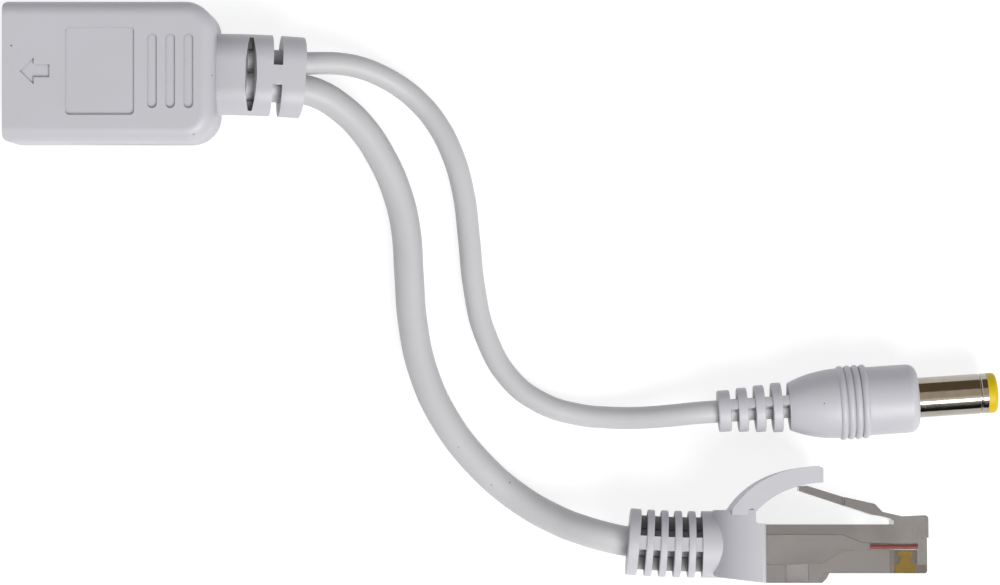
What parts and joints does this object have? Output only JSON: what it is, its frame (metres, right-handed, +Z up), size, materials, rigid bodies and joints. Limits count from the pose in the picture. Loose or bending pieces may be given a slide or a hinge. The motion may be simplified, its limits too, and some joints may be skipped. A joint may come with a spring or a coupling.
{
  "type": "power over network splitter lead",
  "caption": "Splitter lead: a network socket in a moulded housing with a slotted neck, a data lead ending in a network plug and a power lead ending in a barrel plug.",
  "frame": {"origin": "under the middle of the housing and its neck, on the surface that the part lies on", "axes": "+X from the socket's mouth along the housing to its neck, +Z up through the face with the arrow, +Y across the housing"},
  "size_m": [0.1354, 0.0792, 0.0161],
  "materials": {
    "pvc": "moulded PVC, light grey, satin",
    "cord_pvc": "extruded PVC jacket, light grey, satin",
    "socket_plastic": "moulded black thermoplastic",
    "clear_plastic": "clear polycarbonate",
    "gold_spring": "gold-plated phosphor bronze",
    "gold_blade": "gold-plated blade",
    "nickel": "nickel-plated brass",
    "yellow_plastic": "yellow insulator",
    "wire_red": "red conductor insulation",
    "wire_white": "white conductor insulation",
    "wire_green": "green conductor insulation",
    "wire_orange": "orange conductor insulation",
    "wire_black": "black conductor insulation"
  },
  "bodies": {
    "root": {"housing": "pvc", "jack_insert": "socket_plastic", "jack_contact_1": "gold_spring", "jack_contact_2": "gold_spring", "jack_contact_3": "gold_spring", "jack_contact_4": "gold_spring", "jack_contact_5": "gold_spring", "jack_contact_6": "gold_spring", "jack_contact_7": "gold_spring", "jack_contact_8": "gold_spring", "data_tail_1": "wire_red", "data_tail_2": "wire_white", "data_tail_3": "wire_green", "data_tail_6": "wire_orange", "power_tail_red": "wire_red", "power_tail_black": "wire_black", "data_cord": "cord_pvc", "dc_cord": "cord_pvc", "plug_boot": "pvc", "plug_body": "clear_plastic", "plug_blade_1": "gold_blade", "plug_blade_2": "gold_blade", "plug_blade_3": "gold_blade", "plug_blade_4": "gold_blade", "plug_blade_5": "gold_blade", "plug_blade_6": "gold_blade", "plug_blade_7": "gold_blade", "plug_blade_8": "gold_blade", "plug_wire_1": "wire_red", "plug_wire_2": "wire_white", "plug_wire_3": "wire_green", "plug_wire_6": "wire_orange", "dc_handle": "pvc", "dc_sleeve": "nickel", "dc_insulator": "yellow_plastic", "dc_centre_contact": "nickel", "dc_wire_red": "wire_red", "dc_wire_black": "wire_black"}
  },
  "joints": []
}
